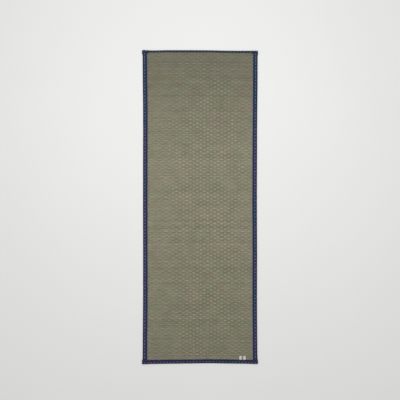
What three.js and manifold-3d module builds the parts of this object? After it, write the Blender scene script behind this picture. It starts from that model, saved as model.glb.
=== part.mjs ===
// A rush yoga mat that lies flat. One panel of woven rush is bound on its four edges with folded cloth
// tape, and a small woven label is sewn in under the tape of the foot end.
//
// Millimetres, +Z up. +Y runs along the mat to its head end and +X across it, to the right of someone who
// looks down on the mat with the head end away from them. The origin is on the floor, under the middle.
//
// Every shape is worked out on a straight mat and then set in place, which bows its ends. On the straight
// mat a point has its distance across, its distance along and its height.

import * as THREE from "three";
import Module from "manifold-3d";

const wasm = await Module();
wasm.setup();

const { clamp, lerp, inverseLerp } = THREE.MathUtils;

// Driving dimensions

const HALF_LENGTH = 900;
const RUSH_THICKNESS = 3.6; // the open weave, from the floor to the top of its bundles
const PRESSED_RUSH = 1.6; // the same weave where one tape is stitched through it
const CORNER_RUSH = 1.2; // and in the corners, between two tapes
const TAPE_THICKNESS = 1; // two plies, because the tape's raw edge is turned under
const LABEL_THICKNESS = 1;
const PIECE_GAP = 0.3; // between two pieces that lie on each other

const SIDE_TAPE_WIDTH = 26.4; // on the face
const FOOT_TAPE_WIDTH = 23.5;
const HEAD_TAPE_WIDTH = 11.5;
const HEAD_CORNER_WIDTH = 20; // where the head tape crosses a side tape
const TAPE_BACK_WIDTH = 27.4; // on the underside, of all four tapes
const CORNER_HALF_WIDTH = 332.3; // from the middle of the mat to the closed end of an end tape
const CORNER_ROUNDING = 3;

const RUSH_INSET = 3.4; // from the fold of a tape to the cut edge of the rush inside it
const SLOPE_LENGTH = 6; // the rush goes from its pressed to its open thickness over this length
const SLOPE_CLEARANCE = 0.5; // from the edge of the tape to the start of that slope
const CLIMB_LENGTH = 10; // an end tape climbs onto a side tape over this length
const CLIMB_CLEARANCE = 1.5; // from the edge of the side tape to the top of that climb

const LABEL_WIDTH = 36;
const LABEL_SHOWN = 22;
const LABEL_TUCKED = 6; // sewn in under the foot tape
const LABEL_MIDDLE = 243.8; // from the middle of the mat, towards +X
const LABEL_EASE = 12; // the foot tape comes down again beside the label over this length
const LABEL_RUN = 7.5; // the foot tape stands clear of the label this far in from its edge

const SECTION_SPACING = 65; // along the long pieces
const FOLD_STEPS = 6; // in the half round of a fold
const PAST_THE_TAPE = 40; // the space inside a tape is cut out to here, beyond its edges

// The outline. The sides are drawn in between the corners, and the ends are bowed.

const SIDES = [
  { along: -900, left: 329.4, right: 330.0 },
  { along: -760, left: 328.6, right: 328.6 },
  { along: -530, left: 326.9, right: 327.3 },
  { along: -300, left: 326.7, right: 327.8 },
  { along: 40, left: 327.2, right: 326.8 },
  { along: 270, left: 327.0, right: 327.4 },
  { along: 500, left: 326.6, right: 328.3 },
  { along: 730, left: 328.5, right: 330.4 },
  { along: 900, left: 329.9, right: 330.7 },
];
const ENDS = [
  { across: -332, head: 902.0, foot: 902.0 },
  { across: -290, head: 899.8, foot: 900.9 },
  { across: -200, head: 900.8, foot: 899.4 },
  { across: -50, head: 900.9, foot: 897.4 },
  { across: 60, head: 900.0, foot: 896.3 },
  { across: 150, head: 898.2, foot: 897.7 },
  { across: 260, head: 897.6, foot: 899.1 },
  { across: 332, head: 897.6, foot: 900.8 },
];

// A tape under the rush lifts it by its own thickness and one gap.
const TAPE_LIFT = TAPE_THICKNESS + PIECE_GAP;
const TAPE_HEIGHT = PRESSED_RUSH + 2 * TAPE_LIFT;
const CORNER_HEIGHT = CORNER_RUSH + 4 * TAPE_LIFT;

const RUSH = new THREE.MeshStandardMaterial({ color: 0x7f7c6a, roughness: 0.75, metalness: 0 });
const TAPE = new THREE.MeshStandardMaterial({ color: 0x363e56, roughness: 0.9, metalness: 0 });
const LABEL = new THREE.MeshStandardMaterial({ color: 0xc8c6b4, roughness: 0.85, metalness: 0 });

// Outline

// A smooth curve through one column of a table, as a function of the table's first column.
function curveThrough(table, place, column) {
  const places = table.map((row) => row[place]);
  const values = table.map((row) => row[column]);
  const curve = new THREE.CubicInterpolant(places, values, 1);
  return (at) => curve.evaluate(at)[0];
}

const leftEdge = curveThrough(SIDES, "along", "left");
const rightEdge = curveThrough(SIDES, "along", "right");
const headEdge = curveThrough(ENDS, "across", "head");
const footEdge = curveThrough(ENDS, "across", "foot");

// Sets a point of the straight mat in place: it moves with the bow of the head end at that end, with the
// bow of the foot end at the other, and with a mix of the two between.
function onMat(across, along, height) {
  const headBow = headEdge(across) - HALF_LENGTH;
  const footBow = HALF_LENGTH - footEdge(across);
  const share = inverseLerp(-HALF_LENGTH, HALF_LENGTH, along);
  return new THREE.Vector3(across, along + lerp(footBow, headBow, share), height);
}

// Slopes

// 1 up to a distance, and from there down to 0 over a length.
const fade = (distance, full, length) => 1 - clamp((distance - full) / length, 0, 1);

// 1 where a tape of this width presses the rush, 0 in the open weave.
const pressed = (distance, width) => fade(distance, width + SLOPE_CLEARANCE, SLOPE_LENGTH);

// 1 where an end tape lies on a side tape, 0 where it lies on the rush.
const climbed = (fromSide) => fade(fromSide, SIDE_TAPE_WIDTH + CLIMB_CLEARANCE, CLIMB_LENGTH);

// 1 where the foot tape lies on the label, 0 where it lies on the rush.
const overLabel = (across) => {
  const fromMiddle = Math.abs(across - LABEL_MIDDLE);
  return fade(fromMiddle, LABEL_WIDTH / 2 + SLOPE_CLEARANCE, LABEL_EASE);
};

// The heights of the underside and the face of the rush, at a distance from a side and from an end whose
// tape has this width on the face.
function rushHeights(fromSide, fromEnd, endTapeWidth) {
  const side = pressed(fromSide, TAPE_BACK_WIDTH);
  const endBack = pressed(fromEnd, TAPE_BACK_WIDTH);
  const endFace = pressed(fromEnd, endTapeWidth);
  const pressDepth = RUSH_THICKNESS - PRESSED_RUSH - TAPE_LIFT;
  const cornerLift = TAPE_LIFT - PRESSED_RUSH + CORNER_RUSH;
  return {
    underside: TAPE_LIFT * (side + endBack),
    face: RUSH_THICKNESS - pressDepth * Math.max(side, endFace) + cornerLift * side * endBack,
  };
}

// Solids

// The places from one end to the other at about the usual spacing, both ends among them.
function evenly(from, to) {
  const steps = Math.round((to - from) / SECTION_SPACING);
  return Array.from({ length: steps + 1 }, (_, i) => lerp(from, to, i / steps));
}

// A solid of these points and triangles. Its faces are turned round if they point inwards.
function solidOf(points, corners) {
  const vertProperties = new Float32Array(points.flatMap((point) => point.toArray()));
  const build = (order) => {
    const triVerts = new Uint32Array(order);
    return new wasm.Manifold(new wasm.Mesh({ numProp: 3, vertProperties, triVerts }));
  };
  const solid = build(corners);
  return solid.volume() < 0 ? build(corners.toReversed()) : solid;
}

// The triangles that close a section of any shape.
const anyCap = (section) => THREE.ShapeUtils.triangulateShape(section, []);

// The triangles that close a flat section, whose lower points run one way and its upper points back above
// them. Each pair of columns has its own two, so that the end of a bowed sheet follows its bow.
function flatCap(section) {
  const last = section.length - 1;
  return Array.from({ length: section.length / 2 - 1 }, (_, i) => [
    [i, i + 1, last - i - 1],
    [i, last - i - 1, last - i],
  ]).flat();
}

// A solid through the sections at a row of stops. A section is a closed line in the plane that runs
// anticlockwise, with the same number of points at every stop, and place sets a point of it in the mat.
function loft(stops, sectionAt, place, cap = anyCap) {
  const sections = stops.map(sectionAt);
  const points = sections.flatMap((section, i) => section.map((point) => place(stops[i], point)));
  const count = sections[0].length;
  const corners = [];
  for (let i = 1; i < stops.length; i += 1) {
    for (let j = 0; j < count; j += 1) {
      const next = (j + 1) % count;
      const [a, b] = [(i - 1) * count + j, (i - 1) * count + next];
      const [c, d] = [i * count + next, i * count + j];
      corners.push(a, b, c, a, c, d);
    }
  }
  const farEnd = points.length - count;
  cap(sections[0]).forEach(([a, b, c]) => corners.push(c, b, a));
  cap(sections.at(-1)).forEach((triangle) => corners.push(...triangle.map((point) => farEnd + point)));
  return solidOf(points, corners);
}

function meshOf(name, solid, material) {
  const { vertProperties, triVerts } = solid.getMesh();
  const geometry = new THREE.BufferGeometry();
  geometry.setAttribute("position", new THREE.BufferAttribute(vertProperties, 3));
  geometry.setIndex(new THREE.BufferAttribute(triVerts, 1));
  geometry.computeVertexNormals();
  const mesh = new THREE.Mesh(geometry, material);
  mesh.name = name;
  return mesh;
}

// Rush panel

const rushEnd = HALF_LENGTH - RUSH_INSET;
const openEnd = HALF_LENGTH - TAPE_BACK_WIDTH - SLOPE_CLEARANCE - SLOPE_LENGTH;
const slopeStops = (width) => [width + SLOPE_CLEARANCE, width + SLOPE_CLEARANCE + SLOPE_LENGTH];

// The stops along the mat: the slopes at both ends, and even steps between them.
const alongStops = [
  -rushEnd,
  ...slopeStops(FOOT_TAPE_WIDTH).map((distance) => distance - HALF_LENGTH),
  slopeStops(TAPE_BACK_WIDTH)[0] - HALF_LENGTH,
  ...evenly(-openEnd, openEnd),
  HALF_LENGTH - slopeStops(TAPE_BACK_WIDTH)[0],
  ...slopeStops(HEAD_TAPE_WIDTH).map((distance) => HALF_LENGTH - distance),
  rushEnd,
].sort((a, b) => a - b);

// The columns across the mat are the slopes at both sides, and even steps between them.
function rushSection(along) {
  const fromEnd = HALF_LENGTH - Math.abs(along);
  const endTapeWidth = along < 0 ? FOOT_TAPE_WIDTH : HEAD_TAPE_WIDTH;
  const [left, right] = [leftEdge(along), rightEdge(along)];
  const [pressedEdge, openEdge] = slopeStops(TAPE_BACK_WIDTH);
  const columns = [
    RUSH_INSET - left,
    pressedEdge - left,
    ...evenly(openEdge - left, right - openEdge),
    right - pressedEdge,
    right - RUSH_INSET,
  ].map((across) => {
    const fromSide = across < 0 ? across + left : right - across;
    return { across, ...rushHeights(fromSide, fromEnd, endTapeWidth) };
  });
  return [
    ...columns.map(({ across, underside }) => new THREE.Vector2(across, underside)),
    ...columns.toReversed().map(({ across, face }) => new THREE.Vector2(across, face)),
  ];
}

const rushPanel = loft(alongStops, rushSection, (along, { x, y }) => onMat(x, along, y), flatCap);

// Tapes

// A tape is folded around the edge of the mat. In its section x is the distance in from the fold and y is
// the height. base is the height of its underside, and height is measured over both of its layers.

// The half round of a fold, from its upper end to its lower end.
function fold(centre, middle, radius) {
  return Array.from({ length: FOLD_STEPS + 1 }, (_, i) => {
    const angle = (Math.PI * i) / FOLD_STEPS;
    return new THREE.Vector2(centre - radius * Math.sin(angle), middle + radius * Math.cos(angle));
  });
}

function tapeOutside({ base, height, width, rise = 0, inset = 0 }) {
  const middle = base + height / 2;
  const face = base + height + rise;
  return [
    new THREE.Vector2(width, face),
    new THREE.Vector2(width - LABEL_RUN, face),
    ...fold(inset + height / 2, middle, height / 2),
    new THREE.Vector2(TAPE_BACK_WIDTH, base),
    new THREE.Vector2(TAPE_BACK_WIDTH, middle),
    new THREE.Vector2(width, middle),
  ];
}

function tapeInside({ base, height, width, rise = 0 }) {
  const middle = base + height / 2;
  const radius = height / 2 - TAPE_THICKNESS;
  return [
    new THREE.Vector2(PAST_THE_TAPE, middle + radius + rise),
    new THREE.Vector2(width - LABEL_RUN, middle + radius + rise),
    ...fold(height / 2, middle, radius),
    new THREE.Vector2(PAST_THE_TAPE, middle - radius),
  ];
}

// The space inside the tape runs from one of the last two values to the other. Where it stops short of the
// last stop, the tape is closed by its turned-in end.
function foldedTape(stops, shapeAt, place, from, to) {
  const outside = loft(stops, (at) => tapeOutside(shapeAt(at)), place);
  const between = stops.filter((at) => at > from && at < to);
  const inside = loft([from, ...between, to], (at) => tapeInside(shapeAt(at)), place);
  return outside.subtract(inside);
}

function sideTape(edge, sign) {
  const shapeAt = (along) => {
    const lifted = pressed(HALF_LENGTH - Math.abs(along), TAPE_BACK_WIDTH);
    const height = TAPE_HEIGHT - lifted * (PRESSED_RUSH - CORNER_RUSH);
    return { base: TAPE_LIFT * lifted, height, width: SIDE_TAPE_WIDTH };
  };
  const place = (along, { x, y }) => onMat(sign * (edge(along) - x), along, y);
  return foldedTape(alongStops, shapeAt, place, -HALF_LENGTH, HALF_LENGTH);
}

// The stops across the mat: the rounded corners, the climbs onto the side tapes, the label and even steps.
function acrossStops(left, right, label) {
  const round = [1, 0.8, 0.5, 0].map((share) => CORNER_HALF_WIDTH - CORNER_ROUNDING * (1 - share));
  const climb = [0, 1].map((share) => SIDE_TAPE_WIDTH + CLIMB_CLEARANCE + CLIMB_LENGTH * share);
  const labelSteps = [LABEL_WIDTH / 2 + SLOPE_CLEARANCE, LABEL_WIDTH / 2 + SLOPE_CLEARANCE + LABEL_EASE];
  return [
    ...round.map((across) => -across),
    ...evenly(climb[1] - left, right - climb[1]),
    climb[0] - left,
    right - climb[0],
    ...(label ? labelSteps.flatMap((step) => [LABEL_MIDDLE - step, LABEL_MIDDLE + step]) : []),
    ...round,
  ].sort((a, b) => a - b);
}

function endTape(sign, width, cornerWidth, label) {
  const left = leftEdge(sign * HALF_LENGTH);
  const right = rightEdge(sign * HALF_LENGTH);
  const shapeAt = (across) => {
    const climb = climbed(across < 0 ? left + across : right - across);
    const past = clamp(Math.abs(across) - CORNER_HALF_WIDTH + CORNER_ROUNDING, 0, CORNER_ROUNDING);
    return {
      base: 0,
      height: lerp(TAPE_HEIGHT, CORNER_HEIGHT, climb),
      width: lerp(width, cornerWidth, climb),
      rise: label ? (LABEL_THICKNESS + PIECE_GAP) * overLabel(across) : 0,
      inset: CORNER_ROUNDING - Math.sqrt(CORNER_ROUNDING ** 2 - past ** 2),
    };
  };
  const place = (across, { x, y }) => onMat(across, sign * (HALF_LENGTH - x), y);
  const stops = acrossStops(left, right, label);
  return foldedTape(stops, shapeAt, place, -left - PIECE_GAP, right + PIECE_GAP);
}

// Label

// It lies on the rush, and its lower end goes down the slope and under the foot tape.
function labelSection(along) {
  const fromEnd = HALF_LENGTH + along;
  const fromSide = rightEdge(along) - LABEL_MIDDLE;
  const underside = rushHeights(fromSide, fromEnd, FOOT_TAPE_WIDTH).face + PIECE_GAP;
  const face = underside + LABEL_THICKNESS;
  const [from, to] = [LABEL_MIDDLE - LABEL_WIDTH / 2, LABEL_MIDDLE + LABEL_WIDTH / 2];
  return [
    new THREE.Vector2(from, underside),
    new THREE.Vector2(to, underside),
    new THREE.Vector2(to, face),
    new THREE.Vector2(from, face),
  ];
}

const labelStops = [
  FOOT_TAPE_WIDTH - LABEL_TUCKED,
  ...slopeStops(FOOT_TAPE_WIDTH),
  FOOT_TAPE_WIDTH + LABEL_SHOWN,
].map((fromEnd) => fromEnd - HALF_LENGTH);
const label = loft(labelStops, labelSection, (along, { x, y }) => onMat(x, along, y), flatCap);

// The mat

const mat = new THREE.Group();
mat.add(
  meshOf("rush_panel", rushPanel, RUSH),
  meshOf("side_tape_left", sideTape(leftEdge, -1), TAPE),
  meshOf("side_tape_right", sideTape(rightEdge, 1), TAPE),
  meshOf("head_tape", endTape(1, HEAD_TAPE_WIDTH, HEAD_CORNER_WIDTH, false), TAPE),
  meshOf("foot_tape", endTape(-1, FOOT_TAPE_WIDTH, FOOT_TAPE_WIDTH, true), TAPE),
  meshOf("woven_label", label, LABEL),
);

export default mat;
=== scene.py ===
"""A rush yoga mat: a panel of woven rush, bound in folded cloth tape, with a small woven label.

Every shape is worked out on a straight mat and then set in place, which bows its ends. On the straight mat
a point has its distance across, its distance along and its height. +Y runs along the mat to its head end.
"""

import bpy
import numpy as np
from bpy.props import FloatProperty, FloatVectorProperty, IntProperty, PointerProperty
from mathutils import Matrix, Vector


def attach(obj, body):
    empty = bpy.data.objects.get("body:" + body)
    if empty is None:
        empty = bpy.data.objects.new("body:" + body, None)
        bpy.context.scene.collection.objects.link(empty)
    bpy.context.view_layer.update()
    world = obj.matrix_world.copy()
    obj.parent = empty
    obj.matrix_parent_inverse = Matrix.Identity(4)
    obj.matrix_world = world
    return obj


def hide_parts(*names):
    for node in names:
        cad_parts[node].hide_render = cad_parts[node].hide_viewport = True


bl_info = {
    "name": "Rush Yoga Mat",
    "version": (1, 0, 0),
    "blender": (4, 5, 0),
    "location": "3D View > Sidebar > Rush Mat",
    "description": "Weaves a rush mat and binds it in cloth tape",
    "category": "Add Mesh",
}

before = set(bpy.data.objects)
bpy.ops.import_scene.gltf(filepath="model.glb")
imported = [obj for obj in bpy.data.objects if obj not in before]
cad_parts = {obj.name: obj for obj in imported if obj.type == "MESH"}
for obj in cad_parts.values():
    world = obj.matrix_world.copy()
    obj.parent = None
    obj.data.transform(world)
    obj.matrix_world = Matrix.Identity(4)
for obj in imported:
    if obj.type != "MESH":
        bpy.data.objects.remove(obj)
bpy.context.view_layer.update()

MM = 0.001

# The outline, in millimetres. The sides are drawn in between the corners, and the ends are bowed.
SIDES = {
    "along": (-900, -760, -530, -300, 40, 270, 500, 730, 900),
    "left": (329.4, 328.6, 326.9, 326.7, 327.2, 327.0, 326.6, 328.5, 329.9),
    "right": (330.0, 328.6, 327.3, 327.8, 326.8, 327.4, 328.3, 330.4, 330.7),
}
ENDS = {
    "across": (-332, -290, -200, -50, 60, 150, 260, 332),
    "head": (902.0, 899.8, 900.8, 900.9, 900.0, 898.2, 897.6, 897.6),
    "foot": (902.0, 900.9, 899.4, 897.4, 896.3, 897.7, 899.1, 900.8),
}
# Where the middle of each of these bundles lies along the mat, in millimetres, numbered from the foot.
BUNDLES = {
    "number": (0, 24, 56, 88, 120, 136, 163),
    "along": (-891.1, -631.1, -280.8, 68.3, 414.8, 590.2, 891.1),
}
# How bright the rush is painted along the mat, as a share of its brightest: a painted sheen that is
# brightest in the middle and fades darker towards both ends.
PAINTED_SHEEN_ALONG = {
    "along": (-870, -500, -100, 285, 600, 870),
    "share": (0.855, 0.94, 0.98, 1.0, 0.83, 0.64),
}
# The large, small and tiny lozenges of a tape: how far each kind is shifted along it and around it, as
# shares of its repeats, and half its length and half its width in millimetres.
LOZENGES = ((0.0, 0.0, 5.1, 4.7), (0.5, 0.5, 3.8, 3.4), (0.5, 0.0, 2.0, 2.0))

# The painted highlight and shade of the rush, as a share, at a height in its weave from 0 in its middle to
# 1 on a crest: painted highlights on the crests and painted shade on the slopes beside them.
CREST_LIGHT_AND_SHADE = ((0, 0.94), (0.45, 0.865), (0.56, 0.865), (0.76, 1.13), (0.93, 1.45))


def linear(colour):
    """Turns an sRGB hex colour into linear red, green, blue and an alpha of 1."""
    parts = np.array([int(colour[i : i + 2], 16) / 255 for i in (1, 3, 5)])
    parts = np.where(parts <= 0.04045, parts / 12.92, ((parts + 0.055) / 1.055) ** 2.4)
    return (*parts.tolist(), 1.0)


def length(name, description, millimetres):
    """A length that the user can change, from its size in millimetres."""
    return FloatProperty(
        name=name, description=description, default=millimetres * MM, unit="LENGTH"
    )


def colour(name, description, default):
    """A colour that the user can change, from an sRGB hex value."""
    return FloatVectorProperty(
        name=name, description=description, default=linear(default), size=4, subtype="COLOR"
    )


class OutlineSizes(bpy.types.PropertyGroup):
    """The sizes of the whole mat."""

    half_length: length(
        "Half length", "From the middle of the straight mat to the fold of an end tape", 900
    )
    corner_half_width: length(
        "Corner half width", "From the middle of the mat to the closed end of an end tape", 332.3
    )
    rush_inset: length(
        "Rush inset", "From the fold of a tape to the cut edge of the rush inside it", 3.4
    )


class WeaveSizes(bpy.types.PropertyGroup):
    """The sizes of the rush panel, its bundles of stems and its warp cords."""

    thickness: length("Thickness", "The open weave, from the floor to the top of its bundles", 3.6)
    pressed: length("Pressed thickness", "The weave where one tape is stitched through it", 1.6)
    corner: length("Corner thickness", "The weave in the corners, between two tapes", 1.2)
    slope: length("Slope", "The rush goes from its pressed to its open thickness over this length", 6)
    column: length("Column", "From one warp cord to the next, in the middle of the mat", 19.95)
    column_offset: length(
        "Column offset", "From the middle of the mat to the warp cord on its right", 4.7
    )
    spread: FloatProperty(
        name="Spread",
        description="How much wider a bundle is where it lies on a warp cord, as a share",
        default=0.17,
        subtype="FACTOR",
    )
    stem: length("Stem", "The width of one rush stem", 1.36)
    cord: length("Warp cord", "The diameter of a warp cord", 1.1)
    unevenness: FloatProperty(
        name="Unevenness",
        description="How much the bundles differ from each other",
        default=1.0,
        subtype="FACTOR",
    )
    seed: IntProperty(
        name="Seed", description="Chooses the unevenness of the whole mat", default=11
    )


class TapeSizes(bpy.types.PropertyGroup):
    """The sizes of the cloth tapes and their stitches."""

    thickness: length("Thickness", "Two plies, because the raw edge is turned under", 1)
    gap: length("Gap", "Between two pieces that lie on each other", 0.3)
    side: length("Side width", "How much of a side tape shows on the face", 26.4)
    foot: length("Foot width", "How much of the foot tape shows on the face", 23.5)
    head: length("Head width", "How much of the head tape shows on the face", 11.5)
    head_corner: length("Head corner width", "How much of it shows where it crosses a side tape", 20)
    back: length("Back width", "How much of each tape shows on the underside", 27.4)
    climb: length("Climb", "An end tape climbs onto a side tape over this length", 10)
    rounding: length("Corner rounding", "The radius of the mat's corners, seen from above", 3)
    stitch: length("Stitch length", "From one needle hole to the next", 5)
    stitch_inset: length("Stitch inset", "From the inner edge of the tape to its line of stitches", 2.5)
    thread: length("Thread", "The diameter of the sewing thread", 0.6)
    motif: length("Motif repeat", "From one woven lozenge of the tape to the next", 18.7)
    motif_rows: length(
        "Motif rows", "From one row of lozenges to the next, which lies half a repeat further on", 14.2
    )


class LabelSizes(bpy.types.PropertyGroup):
    """The sizes of the woven label."""

    width: length("Width", "Across the mat", 36)
    shown: length("Shown", "From the foot tape to the label's free end", 22)
    tucked: length("Tucked", "The length that is sewn in under the foot tape", 6)
    middle: length("Middle", "From the middle of the mat to the middle of the label", 243.8)
    thickness: length("Thickness", "Two plies, because the ribbon is folded", 1)
    ease: length("Ease", "The foot tape comes down again beside the label over this length", 12)


class MatColours(bpy.types.PropertyGroup):
    """The colours of every finish."""

    olive: colour("Olive rush", "The greenest stems", "#797B5F")
    straw: colour("Straw rush", "The usual stems", "#938D7C")
    pale: colour("Pale rush", "The palest stems", "#A5A18D")
    brown: colour("Brown rush", "Stems that dried brown", "#817465")
    cord: colour("Warp cord", "Spun hemp", "#77705A")
    navy: colour("Navy", "The ground of the tape", "#212A46")
    lavender: colour("Lavender", "The lozenges of the tape", "#6B6E92")
    thread: colour("Thread", "The sewing thread", "#2B3050")
    cream: colour("Cream", "The ground of the label", "#D4D1BF")
    grey: colour("Grey", "The stripe of the label", "#84847A")
    floor: colour("Floor", "Pale matt paint", "#EEEEEC")


class StageSizes(bpy.types.PropertyGroup):
    """The camera and the lights."""

    lens: FloatProperty(
        name="Lens", description="The camera's focal length", default=100, unit="CAMERA"
    )
    view_width: length("View width", "How much of the floor the camera sees, from side to side", 2297)
    view_along: length("View along", "From the middle of the mat to the middle of the view", 41)
    floor: FloatProperty(
        name="Floor", description="The side of the floor", default=24, unit="LENGTH"
    )
    key: FloatProperty(
        name="Key", description="The power of the soft light above the mat", default=13.4
    )
    key_size: length("Key size", "The side of the square soft light", 1600)
    sky: FloatProperty(
        name="Sky", description="The strength of the even light all round", default=0.742
    )


class MatSettings(bpy.types.PropertyGroup):
    """Everything that can be changed about the mat."""

    outline: PointerProperty(type=OutlineSizes)
    weave: PointerProperty(type=WeaveSizes)
    tape: PointerProperty(type=TapeSizes)
    label: PointerProperty(type=LabelSizes)
    colours: PointerProperty(type=MatColours)
    stage: PointerProperty(type=StageSizes)


def settings():
    """The settings of this scene."""
    return bpy.context.scene.rush_mat


# Curves and heights


def curve_through(table, place, column, at):
    """A smooth curve through one column of a table, as a function of another column.

    On each span it is the cubic that has, at both ends, the slope between the neighbouring rows.
    """
    places = np.array(table[place], float)
    values = np.array(table[column], float)
    slopes = np.gradient(values, places)
    at = np.clip(at, places[0], places[-1])
    i = np.clip(np.searchsorted(places, at) - 1, 0, len(places) - 2)
    span = places[i + 1] - places[i]
    t = (at - places[i]) / span
    ends = values[i] * (1 + 2 * t) * (1 - t) ** 2 + values[i + 1] * t**2 * (3 - 2 * t)
    return ends + span * (slopes[i] * t * (1 - t) ** 2 - slopes[i + 1] * t**2 * (1 - t))


def side_edge(side, along):
    """From the middle of the mat to the fold of a side tape, at a distance along it."""
    return curve_through(SIDES, "along", side, along / MM) * MM


def on_mat(across, along, height):
    """Sets points of the straight mat in place.

    A point moves along the mat with the bow of the head end at that end, with the bow of the foot end at
    the other, and with a mix of the two between.
    """
    half = settings().outline.half_length
    head_bow = curve_through(ENDS, "across", "head", across / MM) * MM - half
    foot_bow = half - curve_through(ENDS, "across", "foot", across / MM) * MM
    share = (along + half) / (2 * half)
    moved = along + foot_bow + (head_bow - foot_bow) * share
    return np.stack(np.broadcast_arrays(across, moved, height), axis=-1)


def fade(distance, full, length):
    """1 up to a distance, and from there down to 0 over a length."""
    return 1 - np.clip((distance - full) / length, 0, 1)


def pressed(distance, width):
    """1 where a tape of this width presses the rush, 0 in the open weave."""
    clearance = 0.5 * MM
    return fade(distance, width + clearance, settings().weave.slope)


def tape_lift():
    """How far a tape under the rush lifts it: by its own thickness and one gap."""
    return settings().tape.thickness + settings().tape.gap


def rush_levels(from_side, from_end, at_foot):
    """The heights of the underside and the face of the rush.

    The rush lies on the backs of the tapes and is pressed flat by their faces. Beyond each tape it slopes
    up or down to its open thickness.
    """
    weave, tape = settings().weave, settings().tape
    side = pressed(from_side, tape.back)
    end_back = pressed(from_end, tape.back)
    end_face = pressed(from_end, np.where(at_foot, tape.foot, tape.head))
    press_depth = weave.thickness - weave.pressed - tape_lift()
    corner_lift = tape_lift() - weave.pressed + weave.corner
    underside = tape_lift() * (side + end_back)
    face = weave.thickness - press_depth * np.maximum(side, end_face)
    return underside, face + corner_lift * side * end_back


def nearer_edge(across, along):
    """From the middle of the mat to the side that a point is nearer to."""
    return np.where(across < 0, side_edge("left", along), side_edge("right", along))


def from_sides(across, along):
    """How far points are from the nearer side of the mat."""
    return nearer_edge(across, along) - np.abs(across)


def rush_height(across, along, from_end, level):
    """The height of a level in the rush, from -1 on its underside to 1 on its face."""
    underside, face = rush_levels(from_sides(across, along), from_end, along < 0)
    return (underside + face) / 2 + (face - underside) / 2 * level


# Meshes


def smooth_noise(rng, rows, columns, width):
    """Rows of random numbers, each the sum of a width of neighbours, brought back to a spread of 1."""
    raw = rng.standard_normal((rows, columns + width - 1))
    sums = np.cumsum(np.pad(raw, ((0, 0), (1, 0))), axis=1)
    return (sums[:, width:] - sums[:, :-width]) / np.sqrt(width)


def section_angles(sides):
    """The angles of the corners of a round section, from half a step above the horizontal."""
    return 2 * np.pi * (np.arange(sides) + 0.5) / sides


def loft(loops, along_values, around_values):
    """Closed skins through rows of loops, with flat ends.

    loops has an axis for the skins, for the loops along each, for the points around each loop and for x, y
    and z. Each loop is two matching halves, out and back, so both ends are closed by a ladder of faces
    between the halves. It gives the points, the four-sided faces, turned outwards, and a map: its first
    value follows the skin and its second goes around it.
    """
    skins, stations, around, _ = loops.shape
    index = np.arange(skins * stations * around).reshape(skins, stations, around)
    following = np.roll(index, -1, axis=2)
    walls = np.stack(
        [index[:, :-1], following[:, :-1], following[:, 1:], index[:, 1:]], axis=-1
    ).reshape(-1, 4)
    along = np.broadcast_to(along_values[..., None], (skins, stations, around))
    start = np.broadcast_to(around_values[..., :-1], (skins, stations, around))
    stop = np.broadcast_to(around_values[..., 1:], (skins, stations, around))
    wall_map = np.stack(
        [
            np.stack([along[:, :-1], start[:, :-1]], axis=-1),
            np.stack([along[:, :-1], stop[:, :-1]], axis=-1),
            np.stack([along[:, 1:], stop[:, 1:]], axis=-1),
            np.stack([along[:, 1:], start[:, 1:]], axis=-1),
        ],
        axis=-2,
    ).reshape(-1, 4, 2)
    step = np.arange(around // 2 - 1)
    rungs = np.stack([around - 1 - step, around - 2 - step, step + 1, step], axis=-1)
    first = index[:, 0][:, rungs].reshape(-1, 4)
    last = index[:, -1][:, rungs[:, ::-1]].reshape(-1, 4)
    quads = np.concatenate([walls, first, last])
    flat_map = np.stack([along, start], axis=-1).reshape(-1, 2)
    corners = np.concatenate([wall_map, flat_map[first], flat_map[last]])
    points = loops.reshape(-1, 3)
    a, b, c, d = (points[quads[:, i]] for i in range(4))
    volume = (a * (np.cross(b, c) + np.cross(c, d))).sum()
    if volume < 0:
        quads = quads[:, ::-1]
        corners = corners[:, ::-1]
    return points, quads, corners


def thick_cloth(middle, thickness):
    """Loops around a sheet of cloth, from its middle surface and its thickness at each point.

    The outer half of each loop is half the thickness to one side of the middle surface, square to it, and
    the inner half comes back at half the thickness on the other side.
    """
    along = np.gradient(middle, axis=0)
    across = np.gradient(middle, axis=1)
    square = np.cross(along, across)
    square /= np.linalg.norm(square, axis=-1, keepdims=True)
    offset = square * thickness[..., None] / 2
    return np.concatenate([middle + offset, (middle - offset)[:, ::-1]], axis=1)[None]


def towards_edge(from_edge, rounding):
    """The share of its thickness that cloth has, which falls with a square root where it is rounded off."""
    thinnest = 0.35
    return thinnest + (1 - thinnest) * np.sqrt(np.clip(from_edge / rounding, 0, 1))


def add_piece(name, shape, material, nodes=(), point_values=None):
    """Makes a mesh object of points, faces and a map, smooth all over, that rides with the mat."""
    points, quads, corners = shape
    mesh = bpy.data.meshes.new(name)
    mesh.vertices.add(len(points))
    mesh.vertices.foreach_set("co", points.astype(np.float32).ravel())
    mesh.loops.add(quads.size)
    mesh.loops.foreach_set("vertex_index", quads.astype(np.int32).ravel())
    mesh.polygons.add(len(quads))
    mesh.polygons.foreach_set("loop_start", np.arange(0, quads.size, 4, dtype=np.int32))
    mesh.update(calc_edges=True)
    mesh.uv_layers.new(name="cloth").uv.foreach_set("vector", corners.astype(np.float32).ravel())
    for title, values in (point_values or {}).items():
        attribute = mesh.attributes.new(title, "FLOAT", "POINT")
        attribute.data.foreach_set("value", values.astype(np.float32).ravel())
    mesh.validate()
    mesh.shade_smooth()
    mesh.materials.append(material)
    piece = bpy.data.objects.new(name, mesh)
    bpy.context.scene.collection.objects.link(piece)
    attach(piece, "root")
    if nodes:
        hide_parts(*nodes)
    return piece


# Materials

# A colour mix that multiplies one colour by another.
TINT = {"data_type": "RGBA", "blend_type": "MULTIPLY"}
WHITE, BLACK = (1, 1, 1, 1), (0, 0, 0, 1)
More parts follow.
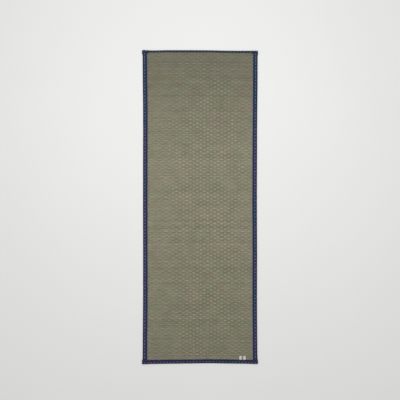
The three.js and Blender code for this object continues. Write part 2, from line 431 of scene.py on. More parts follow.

# Patches to the metre in each noise. The tone of a stem changes about every 56 mm, the rush is greener or
# browner in patches of 90 mm, its painted crest highlights are stronger or weaker in patches of 125 mm and
# it is lower in patches of 77 mm, and the dye of the tapes changes every 200 mm.
STEM_TONES, TINTED_PATCHES, HIGHLIGHT_PATCHES, LOW_PATCHES, DYE_PATCHES = 18.0, 11.0, 8.0, 13.0, 5.0
# The scale of a wave is 2 pi / 20 over the distance between its bands, or 2 pi / 10 where they slant. The
# cord has a twist every 2.4 mm, the thread has one every 0.9 mm, and the label has a rib every 0.7 mm.
CORD_TWIST, THREAD_TWIST, LABEL_RIB = 260.0, 700.0, 450.0


def grey(share):
    """A grey, as a share of white. Multiplied with a colour, it makes that darker or paler."""
    return (share, share, share, 1)


def shades(colour, *shares):
    """A colour made darker or paler by each share."""
    return [tuple(np.array(colour) * grey(share)) for share in shares]


def set_inputs(tree, sockets, values):
    """Puts a value or another node's output in each named input."""
    for name, value in values.items():
        if isinstance(value, bpy.types.NodeSocket):
            tree.links.new(value, sockets[name])
        else:
            sockets[name].default_value = value


def add_node(tree, kind, inputs=None, **properties):
    """Adds a shader node with its properties and with what is in its inputs, and gives its outputs."""
    node = tree.nodes.new("ShaderNode" + kind)
    for name, value in properties.items():
        setattr(node, name, value)
    set_inputs(tree, node.inputs, inputs or {})
    return node.outputs


def new_material(name):
    """A material with only its shader and its output, the tree that they are in and the shader's inputs."""
    material = bpy.data.materials.new(name)
    material.use_nodes = True
    return material, material.node_tree, material.node_tree.nodes["Principled BSDF"].inputs


def set_ramp(outputs, stops):
    """Gives a colour ramp its stops, each a place and a colour."""
    ramp = outputs[0].node.color_ramp
    ramp.elements[0].position, ramp.elements[0].color = stops[0]
    ramp.elements[1].position, ramp.elements[1].color = stops[-1]
    for place, value in stops[1:-1]:
        ramp.elements.new(place).color = value


def share_along(tree, at):
    """How far along the mat the surface is, from 0 at its foot end to 1 at its head end."""
    half = settings().outline.half_length
    along = add_node(tree, "SeparateXYZ", {0: at})["Y"]
    return add_node(tree, "MapRange", {"Value": along, "From Min": -half, "From Max": half})[0]


def rush_material():
    """Soft rush, dried and woven. Round stems side by side, slightly glossy, each of a tone of its own."""
    colours, weave, half = settings().colours, settings().weave, settings().outline.half_length
    material, tree, shader = new_material("woven soft rush")
    uv = add_node(tree, "UVMap", uv_map="cloth")[0]
    place = add_node(tree, "SeparateXYZ", {0: uv})

    # Each stem is a stripe of the map, with its own number and its own rounded height.
    stems = add_node(tree, "Math", {0: place["Y"], 1: weave.stem}, operation="DIVIDE")[0]
    number = add_node(tree, "Math", {0: stems}, operation="FLOOR")[0]
    share = add_node(tree, "Math", {0: stems}, operation="FRACT")[0]
    centred = add_node(tree, "Math", {0: share, 1: 2.0, 2: -1.0}, operation="MULTIPLY_ADD")[0]
    squared = add_node(tree, "Math", {0: centred, 1: centred}, operation="MULTIPLY")[0]
    rounded = add_node(tree, "Math", {0: 1.0, 1: squared}, operation="SUBTRACT")[0]

    # A stem has a tone of its own, which drifts slowly along it.
    tone = add_node(tree, "TexWhiteNoise", {"W": number}, noise_dimensions="1D")["Value"]
    spot = add_node(tree, "CombineXYZ", {0: place["X"], 1: number})[0]
    along_stem = {"Vector": spot, "Scale": STEM_TONES, "Detail": 2.0}
    drift = add_node(tree, "TexNoise", along_stem, noise_dimensions="2D")["Fac"]
    mixed = add_node(tree, "Mix", {"Factor": 0.75, "A": tone, "B": drift}, data_type="FLOAT")[0]
    stem_colour = add_node(tree, "ValToRGB", {"Fac": mixed})
    stops = (0.1, colours.brown), (0.35, colours.olive), (0.6, colours.straw), (0.95, colours.pale)
    set_ramp(stem_colour, stops)

    # Greener and browner patches.
    at = add_node(tree, "TexCoord")["Object"]
    patch = add_node(tree, "TexNoise", {"Vector": at, "Scale": TINTED_PATCHES, "Detail": 2.0})["Fac"]
    patch_tint = add_node(tree, "ValToRGB", {"Fac": patch})
    set_ramp(patch_tint, [(0.38, (0.97, 1.0, 0.94, 1)), (0.62, (1.04, 0.98, 1.0, 1))])
    patched = add_node(tree, "Mix", {"Factor": 1.0, "A": stem_colour[0], "B": patch_tint[0]}, **TINT)[2]

    # Painted sheen: the rush is painted paler in the middle of the mat and darker towards its ends.
    painted_sheen = add_node(tree, "ValToRGB", {"Fac": share_along(tree, at)})
    places = (np.array(PAINTED_SHEEN_ALONG["along"]) * MM + half) / (2 * half)
    set_ramp(painted_sheen, [(float(p), grey(s)) for p, s in zip(places, PAINTED_SHEEN_ALONG["share"])])
    with_painted_sheen = add_node(tree, "Mix", {"Factor": 1.0, "A": patched, "B": painted_sheen[0]}, **TINT)[2]

    # The crests of the weave get painted highlights and the slopes beside them painted shade, stronger in
    # some places than in others.
    raised = add_node(tree, "Attribute", attribute_name="raised")["Fac"]
    crest_shading = add_node(tree, "ValToRGB", {"Fac": raised})
    set_ramp(crest_shading, [(height, grey(share)) for height, share in CREST_LIGHT_AND_SHADE])
    highlight_strength = add_node(tree, "Attribute", attribute_name="highlight_strength")["Fac"]
    strength_noise = add_node(tree, "TexNoise", {"Vector": at, "Scale": HIGHLIGHT_PATCHES, "Detail": 2.0})["Fac"]
    more_or_less = {"Value": strength_noise, "From Min": 0.3, "From Max": 0.65, "To Min": 0.5, "To Max": 1.15}
    patchy_strength = add_node(tree, "MapRange", more_or_less)[0]
    highlight_share = add_node(tree, "Math", {0: highlight_strength, 1: patchy_strength}, operation="MULTIPLY")[0]
    unhighlighted = grey(1.06)
    both = {"Factor": highlight_share, "A": unhighlighted, "B": crest_shading[0]}
    highlighted = add_node(tree, "Mix", both, data_type="RGBA")[2]
    coloured = add_node(tree, "Mix", {"Factor": 1.0, "A": with_painted_sheen, "B": highlighted}, **TINT)[2]

    # A thin line of painted shade between two stems.
    dark_line = {"Value": rounded, "From Max": 0.35, "To Min": 0.72, "To Max": 1.0}
    line = add_node(tree, "MapRange", dark_line)[0]
    # Patches that lie a little lower catch less light.
    low = add_node(tree, "TexNoise", {"Vector": at, "Scale": LOW_PATCHES, "Detail": 1.0})["Fac"]
    dimmer = {"Value": low, "From Min": 0.33, "From Max": 0.67, "To Min": 0.945, "To Max": 1.055}
    dimmed = add_node(tree, "MapRange", dimmer)[0]
    shaded = add_node(tree, "Math", {0: line, 1: dimmed}, operation="MULTIPLY")[0]
    lined = add_node(tree, "Mix", {"Factor": 1.0, "A": coloured, "B": shaded}, **TINT)[2]

    bump = add_node(tree, "Bump", {"Height": rounded, "Strength": 0.9, "Distance": 0.45 * MM})[0]
    gloss = add_node(tree, "MapRange", {"Value": drift, "To Min": 0.5, "To Max": 0.68})[0]
    set_inputs(tree, shader, {"Base Color": lined, "Normal": bump, "Roughness": gloss, "IOR": 1.45})
    return material


def cord_material():
    """Spun hemp cord. Dull and a little hairy, with a slanting twist."""
    material, tree, shader = new_material("spun hemp cord")
    uv = add_node(tree, "UVMap", uv_map="cloth")[0]
    twists = {"Vector": uv, "Scale": CORD_TWIST, "Distortion": 1.5, "Detail": 2.0}
    twist = add_node(tree, "TexWave", twists, bands_direction="DIAGONAL")["Fac"]
    tone = add_node(tree, "ValToRGB", {"Fac": twist})
    dark, pale = shades(settings().colours.cord, 0.7, 1.1)
    set_ramp(tone, [(0.1, dark), (0.8, pale)])
    bump = add_node(tree, "Bump", {"Height": twist, "Strength": 0.6, "Distance": 0.2 * MM})[0]
    set_inputs(tree, shader, {"Base Color": tone[0], "Normal": bump, "Roughness": 0.9})
    return material


def tape_material():
    """Navy border cloth, woven of fine matt thread, with rows of stepped lozenges in pale thread."""
    colours, tape, outline = settings().colours, settings().tape, settings().outline
    material, tree, shader = new_material("woven navy border cloth")
    uv = add_node(tree, "UVMap", uv_map="cloth")[0]
    thread = 0.65 * MM
    snapped = add_node(tree, "VectorMath", {0: uv, 1: (thread, thread, thread)}, operation="SNAP")[0]
    place = add_node(tree, "SeparateXYZ", {0: snapped})

    # Rows of large lozenges, with tiny ones between them, and rows of small ones take turns. Each lozenge
    # has a pale core, a navy ring and a pale rim.
    kinds = []
    for shift_along, shift_around, half_length, half_width in LOZENGES:
        away = []
        for axis, shift, repeat, half in (
            ("X", shift_along, tape.motif, half_length * MM),
            ("Y", shift_around, 2 * tape.motif_rows, half_width * MM),
        ):
            moved = add_node(tree, "Math", {0: place[axis], 1: shift * repeat}, operation="ADD")[0]
            around_zero = {0: moved, 1: repeat / 2, 2: -repeat / 2}
            near = add_node(tree, "Math", around_zero, operation="WRAP")[0]
            distance = add_node(tree, "Math", {0: near}, operation="ABSOLUTE")[0]
            away.append(add_node(tree, "Math", {0: distance, 1: half}, operation="DIVIDE")[0])
        reach = add_node(tree, "Math", {0: away[0], 1: away[1]}, operation="ADD")[0]
        rings = add_node(tree, "ValToRGB", {"Fac": reach})
        rings[0].node.color_ramp.interpolation = "CONSTANT"
        set_ramp(rings, [(0.0, WHITE), (0.36, BLACK), (0.56, WHITE), (1.0, BLACK)])
        kinds.append(rings[0])
    two = add_node(tree, "Math", {0: kinds[0], 1: kinds[1]}, operation="MAXIMUM")[0]
    motif = add_node(tree, "Math", {0: two, 1: kinds[2]}, operation="MAXIMUM")[0]

    # Threads: a fine rib in both directions, each crossing a little different.
    ribs = []
    for axis in "XY":
        part = add_node(tree, "SeparateXYZ", {0: uv})[axis]
        turns = add_node(tree, "Math", {0: part, 1: 2 * np.pi / thread}, operation="MULTIPLY")[0]
        ribs.append(add_node(tree, "Math", {0: turns}, operation="SINE")[0])
    rib = add_node(tree, "Math", {0: ribs[0], 1: ribs[1]}, operation="MULTIPLY")[0]
    crossing = add_node(tree, "TexWhiteNoise", {"Vector": snapped}, noise_dimensions="2D")
    fibre = add_node(tree, "MapRange", {"Value": crossing["Value"], "To Min": 0.75, "To Max": 1.2})[0]
    both = {"Factor": motif, "A": colours.navy, "B": colours.lavender}
    ground = add_node(tree, "Mix", both, data_type="RGBA")[2]
    woven = add_node(tree, "Mix", {"Factor": 1.0, "A": ground, "B": fibre}, **TINT)[2]

    # Light has turned the dye more purple in some stretches and more blue in others.
    at = add_node(tree, "TexCoord")["Object"]
    stretch = add_node(tree, "TexNoise", {"Vector": at, "Scale": DYE_PATCHES, "Detail": 3.0})["Fac"]
    dye = add_node(tree, "ValToRGB", {"Fac": stretch})
    set_ramp(dye, [(0.35, (1.3, 0.95, 1.08, 1)), (0.65, (0.76, 1.1, 0.97, 1))])
    dyed = add_node(tree, "Mix", {"Factor": 1.0, "A": woven, "B": dye[0]}, **TINT)[2]

    # The end tapes are darker than the side tapes, and the head tape is a little greener. The foot tape's
    # extra darkness is painted shade towards the foot end.
    ends = add_node(tree, "ValToRGB", {"Fac": share_along(tree, at)})
    foot_edge = tape.foot / (2 * outline.half_length)
    head_edge = 1 - tape.head_corner / (2 * outline.half_length)
    step = 0.004
    sides = [(foot_edge + step, WHITE), (head_edge - step, WHITE)]
    set_ramp(ends, [(foot_edge, (0.84, 0.75, 0.78, 1)), *sides, (head_edge, (0.75, 0.93, 0.71, 1))])
    end_shade_and_tint = add_node(tree, "Mix", {"Factor": 1.0, "A": dyed, "B": ends[0]}, **TINT)[2]

    bump = add_node(tree, "Bump", {"Height": rib, "Strength": 0.5, "Distance": 0.12 * MM})[0]
    matt = {"Roughness": 0.9, "Specular IOR Level": 0.25}
    set_inputs(tree, shader, {"Base Color": end_shade_and_tint, "Normal": bump, **matt})
    return material


def thread_material():
    """Polyester sewing thread. Smooth and slightly shiny, with a fine twist."""
    material, tree, shader = new_material("navy sewing thread")
    uv = add_node(tree, "UVMap", uv_map="cloth")[0]
    twists = {"Vector": uv, "Scale": THREAD_TWIST}
    twist = add_node(tree, "TexWave", twists, bands_direction="DIAGONAL")["Fac"]
    tone = add_node(tree, "ValToRGB", {"Fac": twist})
    dark, pale = shades(settings().colours.thread, 0.6, 1.3)
    set_ramp(tone, [(0.0, dark), (1.0, pale)])
    set_inputs(tree, shader, {"Base Color": tone[0], "Roughness": 0.5})
    return material


def label_material():
    """Woven ribbon. Cream, matt, ribbed across, with one soft grey stripe down its middle."""
    colours = settings().colours
    material, tree, shader = new_material("woven cream ribbon")
    uv = add_node(tree, "UVMap", uv_map="cloth")[0]
    place = add_node(tree, "SeparateXYZ", {0: uv})
    distance = add_node(tree, "Math", {0: place["Y"]}, operation="ABSOLUTE")[0]
    band = {"Value": distance, "From Min": 4.7 * MM, "From Max": 5.5 * MM, "To Min": 1.0, "To Max": 0.0}
    stripe = add_node(tree, "MapRange", band)[0]
    both = {"Factor": stripe, "A": colours.cream, "B": colours.grey}
    ground = add_node(tree, "Mix", both, data_type="RGBA")[2]
    ribs = {"Vector": uv, "Scale": LABEL_RIB, "Distortion": 0.4}
    rib = add_node(tree, "TexWave", ribs, bands_direction="X")["Fac"]
    shade = add_node(tree, "MapRange", {"Value": rib, "To Min": 0.86, "To Max": 1.04})[0]
    woven = add_node(tree, "Mix", {"Factor": 1.0, "A": ground, "B": shade}, **TINT)[2]
    bump = add_node(tree, "Bump", {"Height": rib, "Strength": 0.5, "Distance": 0.15 * MM})[0]
    set_inputs(tree, shader, {"Base Color": woven, "Normal": bump, "Roughness": 0.7})
    return material


def shared(make):
    """The material that a function makes, made once."""
    if make.__name__ not in shared.made:
        shared.made[make.__name__] = make()
    return shared.made[make.__name__]


shared.made = {}


# Rush panel

PANEL_PIECES = ("rush_weave_foot", "rush_weave_middle", "rush_weave_head")
STEPS_A_COLUMN = 4
BUNDLE_SIDES = 12
ROUND_SIDES = 6
# On the map, each bundle and each cord starts this much further on, so that none looks like its neighbour.
MAP_SHIFT = 0.05
# The width of a bundle between two cords, as a share of the distance from one bundle to the next.
BUNDLE_FILL = 1.065
# Where the painted highlights and shade of the weave are strongest, how far from there they grow weaker,
# and how much weaker, across the mat and along it.
HIGHLIGHT_MIDDLE, HIGHLIGHT_REACH, HIGHLIGHT_FALL = (50 * MM, -50 * MM), (290 * MM, 880 * MM), (0.85, 0.5)


def column_stops():
    """The places across the mat where a bundle has a section, counted in columns from a warp cord."""
    weave, outline = settings().weave, settings().outline
    reach = side_edge("left", 0.0) - outline.rush_inset
    first = (-reach - weave.column_offset) / weave.column
    last = (reach - weave.column_offset) / weave.column
    inner = np.arange(np.ceil(first * STEPS_A_COLUMN + 0.5), np.floor(last * STEPS_A_COLUMN + 0.5))
    return np.concatenate([[first], inner / STEPS_A_COLUMN, [last]])


def across_at(stops, along):
    """How far across the mat a number of columns is. Each column keeps its share of the mat's width."""
    weave, inset = settings().weave, settings().outline.rush_inset
    straight = weave.column_offset + weave.column * stops
    reach = side_edge("left", 0.0) - inset
    return straight * (nearer_edge(straight, along) - inset) / reach


def weave_bundles(numbers):
    """Bundles of stems that run across the mat, over one warp cord and under the next.

    The middle of a bundle is a cosine of the distance across, and the next bundle has the opposite one. Its
    section is an oval with blunt corners, a superellipse, which is wider where the bundle lies on a cord or
    under one.
    """
    weave, outline = settings().weave, settings().outline
    stops = column_stops()
    rng = np.random.default_rng(weave.seed)
    bundles = BUNDLES["number"][-1] + 1
    # How many sections each kind of unevenness runs over: in place, in width, in height and in the strength
    # of the painted highlights.
    runs = (14, 6, 8, 5)
    wander, swell, crown, highlight_noise = (
        smooth_noise(rng, bundles, len(stops), run)[numbers][..., None] * weave.unevenness for run in runs
    )

    along = curve_through(BUNDLES, "number", "along", numbers) * MM
    following = curve_through(BUNDLES, "number", "along", numbers + 0.5) * MM
    before = curve_through(BUNDLES, "number", "along", numbers - 0.5) * MM
    narrowest = 0.95
    pitch = np.maximum(following - before, narrowest * (along[1] - along[0]))
    along, pitch, numbers = along[:, None, None], pitch[:, None, None], numbers[:, None, None]

    angle, power = section_angles(BUNDLE_SIDES), 2 / 2.5
    section_y = np.sign(np.cos(angle)) * np.abs(np.cos(angle)) ** power
    section_z = np.sign(np.sin(angle)) * np.abs(np.sin(angle)) ** power

    phase = np.cos(np.pi * (stops[None, :, None] + numbers + 1))
    widened = BUNDLE_FILL + weave.spread * np.abs(phase) ** 1.5
    uneven_place, uneven_width, uneven_lift, uneven_height = 0.22 * MM, 0.03, 0.05, 0.04
    width = pitch * widened * (1 + uneven_width * swell)
    lift = 0.5 * phase * (1 - uneven_lift * np.abs(crown))
    level = lift + 0.5 * section_z * (1 - uneven_height * np.abs(swell))

    straight_along = along + uneven_place * wander + width / 2 * section_y
    across = across_at(stops[None, :, None], along)
    height = rush_height(across, along, outline.half_length - np.abs(straight_along), level)
    loops = on_mat(across, straight_along, height)

    # The map goes around an upright section, a bundle wide and half the weave high.
    outline_y = section_y * (along[1] - along[0])[0, 0] / 2
    outline_z = section_z * weave.thickness / 4
    steps = np.hypot(np.diff(outline_y, append=outline_y[0]), np.diff(outline_z, append=outline_z[0]))
    around = np.concatenate([[0], np.cumsum(steps)])[None, None] + numbers * MAP_SHIFT
    distance = np.broadcast_to(stops * weave.column, loops.shape[:2])

    # The strength of the painted highlights and shade falls with the square of the distance across and with
    # the fourth power of the distance along.
    raised = level * np.sign(section_z)
    across_share = (across - HIGHLIGHT_MIDDLE[0]) / HIGHLIGHT_REACH[0]
    along_share = (along - HIGHLIGHT_MIDDLE[1]) / HIGHLIGHT_REACH[1]
    usual, uneven_highlight, least = 0.85, 0.28, 0.05
    highlight_strength = np.clip(1 - HIGHLIGHT_FALL[0] * across_share**2 - HIGHLIGHT_FALL[1] * along_share**4, least, 1)
    highlight_strength = np.broadcast_to(highlight_strength * (usual + uneven_highlight * highlight_noise), raised.shape)
    return loft(loops, distance, around), {"raised": raised, "highlight_strength": highlight_strength}


def stretch_cords():
    """Warp cords that run along the mat, under the bundles that lie high and over those that lie low.

    The middle of a cord is a cosine of the bundle number, the opposite of the bundles' own. Its section is
    a circle, drawn with six sides and flattened where the rush is pressed.
    """
    weave, outline = settings().weave, settings().outline
    last = BUNDLES["number"][-1]
    numbers = np.arange(-0.5, last + 0.75, 0.5)
    along = curve_through(BUNDLES, "number", "along", numbers) * MM
    along[0] -= (along[2] - along[1]) / 2
    along[-1] += (along[2] - along[1]) / 2
    stops = column_stops()
    columns = np.arange(np.ceil(stops[0]), np.floor(stops[-1]) + 1)
    angle = section_angles(ROUND_SIDES)
    along, columns, numbers = along[None, :, None], columns[:, None, None], numbers[None, :, None]
    rng = np.random.default_rng(weave.seed + 1)
    run, sway_size, depth = 10, 0.5 * MM, 0.32
    sway = smooth_noise(rng, columns.size, numbers.size, run)[..., None] * sway_size
    across = across_at(columns, along) + sway + weave.cord / 2 * np.cos(angle)
    level = weave.cord / weave.thickness * np.sin(angle) - depth * np.cos(np.pi * (numbers + columns + 1))
    height = rush_height(across, along, outline.half_length - np.abs(along), level)
    loops = on_mat(across, np.broadcast_to(along, across.shape), height)
    steps = np.arange(ROUND_SIDES + 1)[None, None] / ROUND_SIDES
    around = steps * weave.cord * np.pi + columns * MAP_SHIFT
    return loft(loops, np.broadcast_to(along[..., 0], loops.shape[:2]), around)


class RUSHMAT_OT_weave_panel(bpy.types.Operator):
    """Weave the rush panel out of bundles of stems and warp cords"""

    bl_idname = "rushmat.weave_panel"
    bl_label = "Weave Rush Panel"

    def execute(self, context):
        numbers = np.arange(BUNDLES["number"][-1] + 1)
        shape = stretch_cords()
        cords = add_piece("warp_cords", shape, shared(cord_material))
        for name, part in zip(PANEL_PIECES, np.array_split(numbers, len(PANEL_PIECES))):
            shape, values = weave_bundles(part)
            piece = add_piece(name, shape, shared(rush_material), ["rush_panel"], values)
        return {"FINISHED"}


# Tapes

# A tape is folded around the edge of the mat. On it, at is the distance along the edge, and the distance
# around starts at its inner edge on the face, goes over the fold and ends at its inner edge on the back.

TAPES = ("left", "right", "head", "foot")
# From the fold to the first row of large lozenges on the face, in millimetres.
MOTIF_FROM_FOLD = {"left": 12.2, "right": 12.8, "head": 20.5, "foot": 10.0}


def climbed(across):
    """1 where an end tape lies on a side tape, 0 where it lies on the rush."""
    tape, outline = settings().tape, settings().outline
    clearance = 1.5 * MM
    from_side = nearer_edge(across, outline.half_length) - np.abs(across)
    return fade(from_side, tape.side + clearance, tape.climb)


def over_label(across):
    """1 where the foot tape lies on the label, 0 where it lies on the rush."""
    label = settings().label
    clearance = 0.5 * MM
    return fade(np.abs(across - label.middle), label.width / 2 + clearance, label.ease)


def tape_form(which, at):
    """A tape's form: the height of its underside, its own height over both layers, its width on the face
    and how far its face rises over the label.
    """
    weave, tape, outline = settings().weave, settings().tape, settings().outline
    usual = weave.pressed + 2 * tape_lift()
    if which in ("left", "right"):
        lifted = pressed(outline.half_length - np.abs(at), tape.back)
        base = tape_lift() * lifted
        height = usual - lifted * (weave.pressed - weave.corner)
        return base, height, tape.side + 0 * at, 0 * at
    climb = climbed(at)
    corner = weave.corner + 4 * tape_lift()
    height = usual + (corner - usual) * climb
    if which == "head":
        return 0 * at, height, tape.head + (tape.head_corner - tape.head) * climb, 0 * at
    rise = (settings().label.thickness + tape.gap) * over_label(at)
    return 0 * at, height, tape.foot + 0 * at, rise


def cloth_lengths(which, at):
    """How much of a tape's cloth lies on the face, goes around the fold and lies on the back."""
    tape = settings().tape
    _, height, width, _ = tape_form(which, at)
    return width - height / 2, np.pi * (height - tape.thickness) / 2, tape.back - height / 2


def back_stitch_inset():
    """From a tape's inner edge on the back to the stitches there, right behind those on the face."""
    tape = settings().tape
    return tape.stitch_inset + tape.back - tape.side


def closing(at):
    """How high an end tape's face stands over its back: 1, less a quarter circle at its sewn-up ends."""
    length, least = 2.6 * MM, 0.1
    past = np.clip((np.abs(at) - settings().outline.corner_half_width + length) / length, 0, 1)
    return least + (1 - least) * np.sqrt(1 - past**2)


def tape_surface(which, at, around):
    """The middle surface of a tape's cloth, at distances along the edge and around the fold.

    On the face it runs level from the inner edge to the fold, then through a half circle, and back level
    underneath. It gives the distance in from the edge and the height. At the sewn-up ends of an end tape
    the face comes down to the back, the back is as narrow as the face, and the fold is rounded off.
    """
    tape, outline = settings().tape, settings().outline
    base, height, width, rise = tape_form(which, at)
    radius = (height - tape.thickness) / 2
    on_face = width - height / 2
    middle = base + height / 2
    turn = np.clip((around - on_face) / radius, 0, np.pi)
    on_back = np.maximum(around - on_face - np.pi * radius, 0)
    if which in ("head", "foot"):
        on_back = on_back * (1 - (1 - closing(at)) * (tape.back - width) / tape.back)
    past_face = height / 2 - radius * np.sin(turn) + on_back
    inwards = np.where(around < on_face, width - around, past_face)
    raised_run, fall_share = 7.5 * MM, 0.45
    raised = rise * fade(around, raised_run, width * fall_share) * (around < on_face)
    apart = radius * np.cos(turn) + raised
    if which in ("left", "right"):
        return inwards, middle + apart
    past = np.clip(np.abs(at) - outline.corner_half_width + tape.rounding, 0, tape.rounding)
    inset = tape.rounding - np.sqrt(tape.rounding**2 - past**2)
    rounded_run, straight_after = 2 * MM, 8 * MM
    near_fold = fade(np.abs(inwards), rounded_run, straight_after)
    return inwards + inset * near_fold, middle - radius + (apart + radius) * closing(at)


def tape_place(which, at, inwards, height):
    """Sets points of a tape in place on the mat."""
    half = settings().outline.half_length
    if which == "left":
        return on_mat(inwards - side_edge("left", at), at, height)
    if which == "right":
        return on_mat(side_edge("right", at) - inwards, at, height)
    sign = 1 if which == "head" else -1
    return on_mat(at, sign * (half - inwards), height)


def tape_length(which):
    """The two ends of a tape, as distances along its edge."""
    outline = settings().outline
    reach = outline.half_length - outline.rush_inset / 2
    if which in ("head", "foot"):
        reach = outline.corner_half_width
    return -reach, reach


def tape_grid(which, at):
    """The distances around the fold at each stop along the tape, closest at its edges and its stitches."""
    face, arc, back = (part[:, None] for part in cloth_lengths(which, at))
    inset, back_inset = settings().tape.stitch_inset, back_stitch_inset()
    beside = 0.9 * MM
    near_face_edge = np.array([0, 0.12 * MM, 0.4 * MM, 1.6 * MM, inset, inset + beside, inset + 3 * MM])
    on_back_line = [back_inset + beside, back_inset, back_inset - beside]
    near_back_edge = np.array([*on_back_line, 0.4 * MM, 0.12 * MM, 0])
    on_fold = face + arc * np.linspace(0, 1, 7)
    on_back = face + arc + back * 0.45
    on_face = np.broadcast_to(near_face_edge, (len(at), len(near_face_edge)))
    return np.concatenate([on_face, on_fold, on_back, face + arc + back - near_back_edge], axis=1)


def fold_tape(which):
    """A tape: a sheet of cloth on the tape's middle surface, rounded off at both inner edges.

    It dips with a cosine at each needle hole, its back has a groove for the stitches, and both inner edges
    wander a little, as on sewn cloth.
    """
    tape, weave = settings().tape, settings().weave
    start, stop = tape_length(which)
    steps = int(round((stop - start) / (tape.stitch / 2) / 2)) * 2
    at = np.linspace(start, stop, steps + 1)
    if which in ("head", "foot"):
        ends = np.array([0.08, 0.3, 0.9, 1.7]) * MM
        at = np.sort(np.concatenate([at, start + ends, stop - ends]))
    around = tape_grid(which, at)
    from_back_edge = around[:, -1:] - around
    rng = np.random.default_rng(weave.seed + 2 + TAPES.index(which))
    run, wander_size, wander_reach = 22, 0.3 * MM, 16 * MM
    face_edge, back_edge = smooth_noise(rng, 2, len(at), run)[..., None] * weave.unevenness
    inwards, height = tape_surface(which, at[:, None], around)
    wander = face_edge * fade(around, 0, wander_reach) + back_edge * fade(from_back_edge, 0, wander_reach)
    inwards = inwards + wander_size * wander

    dip, groove, beside = 0.22 * MM, 0.34 * MM, 0.9 * MM
    hole = np.cos(2 * np.pi * (at - start) / tape.stitch)[:, None] * 0.5 + 0.5
    on_line = fade(np.abs(around - tape.stitch_inset), 0, beside)
    on_back_line = fade(np.abs(from_back_edge - back_stitch_inset()), 0, beside)
    height = height - dip * hole * on_line + (groove + dip * hole) * on_back_line
    middle = tape_place(which, at[:, None], inwards, height)
    rounding = 0.4 * MM
    from_edge = np.minimum(around, from_back_edge)
    loops = thick_cloth(middle, tape.thickness * towards_edge(from_edge, rounding))

    on_face, arc, _ = cloth_lengths(which, at)
    woven = around - (on_face + arc / 2)[:, None] + MOTIF_FROM_FOLD[which] * MM
    return loft(loops, at[None], np.concatenate([woven, woven[:, ::-1], woven[:, :1]], axis=1)[None])


def sew_stitches(which):
    """A row of stitches on the face of a tape and one on its back.

    A stitch is a short round thread that comes up out of one needle hole and goes down into the next: its
    middle falls with the fourth power of the distance from its top, and so does its radius.
    """
    tape = settings().tape
    start, stop = tape_length(which)
    count = int(round((stop - start) / tape.stitch))
    hole = start + (stop - start) * np.arange(count + 1) / count
    clear = tape.back + 1.5 * MM if which in ("left", "right") else tape.stitch
    middles = (hole[:-1] + hole[1:]) / 2
    middles = middles[np.abs(middles) < stop - clear]
    share = np.array([-1, -0.6, 0, 0.6, 1.0])
    reach, thinning, plunge = 0.46, 0.55, 0.75
    at = middles[:, None] + share * tape.stitch * reach
    on_back_line = sum(cloth_lengths(which, at)) - back_stitch_inset()
    angle = section_angles(ROUND_SIDES)
    radius = (tape.thread / 2 * (1 - thinning * share**4))[None, :, None]
    shapes = []
    # The thread's middle stands out of the face by a share of its size, and is sunk into the back's groove.
    for around, up, proud in ((tape.stitch_inset + 0 * at, 1, 0.25), (on_back_line, -1, -0.52)):
        inwards, height = tape_surface(which, at, around)
        height = height + up * (tape.thickness / 2 + tape.thread * (proud - plunge * share**4))
        ring_in = inwards[..., None] + radius * np.cos(angle)
        ring_up = height[..., None] + radius * np.sin(angle)
        shapes.append(tape_place(which, at[..., None], ring_in, ring_up))
    loops = np.concatenate(shapes)
    around_values = np.arange(ROUND_SIDES + 1) * np.pi * tape.thread / ROUND_SIDES
    around_values = np.broadcast_to(around_values, (*loops.shape[:2], ROUND_SIDES + 1))
    return loft(loops, np.concatenate([at, at]), around_values)


def bind_edge(which, node):
    """Makes one tape and its stitches."""
    cloth = add_piece(f"{node}_cloth", fold_tape(which), shared(tape_material), [node])
    threads = add_piece(f"{node}_stitches", sew_stitches(which), shared(thread_material))


class RUSHMAT_OT_bind_sides(bpy.types.Operator):
    """Fold and stitch a tape around each side of the mat"""

    bl_idname = "rushmat.bind_sides"
    bl_label = "Bind Sides"

    def execute(self, context):
        bind_edge("left", "side_tape_left")
        bind_edge("right", "side_tape_right")
        return {"FINISHED"}


class RUSHMAT_OT_bind_ends(bpy.types.Operator):
    """Fold and stitch a tape around each end of the mat, over the side tapes"""

    bl_idname = "rushmat.bind_ends"
    bl_label = "Bind Ends"

    def execute(self, context):
        bind_edge("head", "head_tape")
        bind_edge("foot", "foot_tape")
        return {"FINISHED"}


# Label


def lay_label():
    """The label: a ribbon that lies on the rush, one gap above it, with its free edges rounded off.

    It curls up with the cube of the distance from the tape, most at its corners, and ripples with a sine
    across and a cosine along.
    """
    label, tape, outline = settings().label, settings().tape, settings().outline
    rim, half = 0.5 * MM, label.width / 2
    from_end = np.linspace(tape.foot - label.tucked, tape.foot + label.shown, 48)
    left_rim = np.array([-half, -half + 0.15 * MM, -half + rim])
    inner = np.linspace(-half + 2 * MM, half - 2 * MM, 22)
    from_middle = np.concatenate([left_rim, inner, -left_rim[::-1]])
    along = (from_end - outline.half_length)[:, None]
    across = label.middle + from_middle[None]
    _, level = rush_levels(from_sides(across, along), from_end[:, None], True)

    free = np.clip((from_end - tape.foot) / label.shown, 0, 1)[:, None]
    curl_height, ripple_height, ripple_across, ripple_along = 0.5 * MM, 0.18 * MM, 6 * MM, 9 * MM
    curl = curl_height * free**3 * (0.4 + (from_middle[None] / half) ** 2)
    ripples = np.sin(from_middle[None] / ripple_across) * np.cos(along / ripple_along)
    height = level + tape.gap + label.thickness / 2 + curl + ripple_height * free * ripples
    middle = on_mat(across + 0 * along, along + 0 * across, height)

    from_rim = np.minimum(half - np.abs(from_middle)[None], (from_end[-1] - from_end)[:, None])
    loops = thick_cloth(middle, label.thickness * towards_edge(from_rim, rim))
    around = np.concatenate([from_middle, from_middle[::-1], from_middle[:1]])
    return loft(loops, from_end[None], np.broadcast_to(around, (1, len(from_end), len(around))))


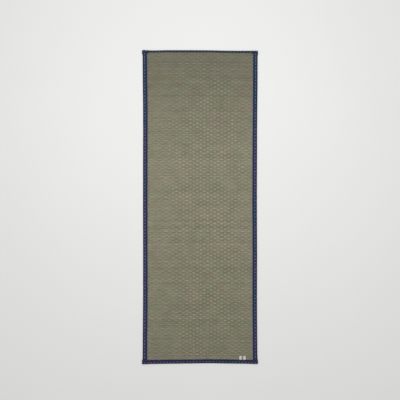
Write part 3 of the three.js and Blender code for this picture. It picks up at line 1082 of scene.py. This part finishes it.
class RUSHMAT_OT_sew_label(bpy.types.Operator):
    """Sew the woven label in under the foot tape"""

    bl_idname = "rushmat.sew_label"
    bl_label = "Sew Label"

    def execute(self, context):
        shape = lay_label()
        piece = add_piece("woven_label_ribbon", shape, shared(label_material), ["woven_label"])
        return {"FINISHED"}


# Stage

# Where the soft light hangs and the point that it faces, in metres, and how wide it shines, in degrees.
KEY_PLACE, KEY_TARGET, KEY_SPREAD = (-0.02, 0.7, 2.6), (-0.02, 0.7, 0), 130
SKY_COLOUR = "#F7F8F8"
# The paint of the floor is uneven in patches of 670 mm.
FLOOR_PATCHES = 1.5


def floor_material():
    """Matt paint on a smooth floor. Even and pale, with no gloss."""
    material, tree, shader = new_material("pale matt floor paint")
    at = add_node(tree, "TexCoord")["Object"]
    cloud = add_node(tree, "TexNoise", {"Vector": at, "Scale": FLOOR_PATCHES, "Detail": 1.0})["Fac"]
    tone = add_node(tree, "ValToRGB", {"Fac": cloud})
    dark, pale = shades(settings().colours.floor, 0.99, 1.0)
    set_ramp(tone, [(0.3, dark), (0.7, pale)])
    set_inputs(tree, shader, {"Base Color": tone[0], "Roughness": 0.95, "Specular IOR Level": 0.1})
    return material


def hang_key_light():
    """A square light that faces a point."""
    stage = settings().stage
    data = bpy.data.lights.new("key light", "AREA")
    data.size = stage.key_size
    data.energy = stage.key
    data.spread = np.radians(KEY_SPREAD)
    light = bpy.data.objects.new("key light", data)
    light.location = KEY_PLACE
    light.rotation_mode = "QUATERNION"
    light.rotation_quaternion = (Vector(KEY_TARGET) - Vector(KEY_PLACE)).to_track_quat("-Z", "Y")
    light.visible_camera = False
    bpy.context.scene.collection.objects.link(light)


class RUSHMAT_OT_set_stage(bpy.types.Operator):
    """Lay a pale floor, set a soft light and look straight down on the mat"""

    bl_idname = "rushmat.set_stage"
    bl_label = "Set Stage"

    def execute(self, context):
        stage = settings().stage
        scene = context.scene
        scene.view_settings.view_transform = "Standard"

        half = stage.floor / 2
        mesh = bpy.data.meshes.new("floor")
        corners = [(-half, -half, 0), (half, -half, 0), (half, half, 0), (-half, half, 0)]
        mesh.from_pydata(corners, [], [(0, 1, 2, 3)])
        mesh.materials.append(floor_material())
        floor = bpy.data.objects.new("floor", mesh)
        scene.collection.objects.link(floor)

        camera_data = bpy.data.cameras.new("camera")
        camera_data.lens = stage.lens
        camera = bpy.data.objects.new("camera", camera_data)
        distance = stage.view_width * stage.lens / camera_data.sensor_width
        camera.location = (0, stage.view_along, distance)
        scene.collection.objects.link(camera)
        scene.camera = camera

        hang_key_light()
        world = bpy.data.worlds.new("studio")
        world.use_nodes = True
        background = world.node_tree.nodes["Background"].inputs
        background["Color"].default_value = linear(SKY_COLOUR)
        background["Strength"].default_value = stage.sky
        scene.world = world
        return {"FINISHED"}


class RUSHMAT_PT_mat(bpy.types.Panel):
    """Lists the steps that make the mat"""

    bl_idname = "RUSHMAT_PT_mat"
    bl_label = "Rush Mat"
    bl_space_type = "VIEW_3D"
    bl_region_type = "UI"
    bl_category = "Rush Mat"

    def draw(self, context):
        for step in STEPS:
            self.layout.operator(step.bl_idname)


STEPS = (
    RUSHMAT_OT_weave_panel,
    RUSHMAT_OT_bind_sides,
    RUSHMAT_OT_bind_ends,
    RUSHMAT_OT_sew_label,
    RUSHMAT_OT_set_stage,
)
CLASSES = (
    OutlineSizes,
    WeaveSizes,
    TapeSizes,
    LabelSizes,
    MatColours,
    StageSizes,
    MatSettings,
    *STEPS,
    RUSHMAT_PT_mat,
)


def register():
    for entry in CLASSES:
        bpy.utils.register_class(entry)
    bpy.types.Scene.rush_mat = PointerProperty(type=MatSettings)


def unregister():
    del bpy.types.Scene.rush_mat
    for entry in reversed(CLASSES):
        bpy.utils.unregister_class(entry)


def main():
    register()
    bpy.ops.rushmat.weave_panel()
    bpy.ops.rushmat.bind_sides()
    bpy.ops.rushmat.bind_ends()
    bpy.ops.rushmat.sew_label()
    bpy.ops.rushmat.set_stage()


if __name__ == "__main__":
    main()
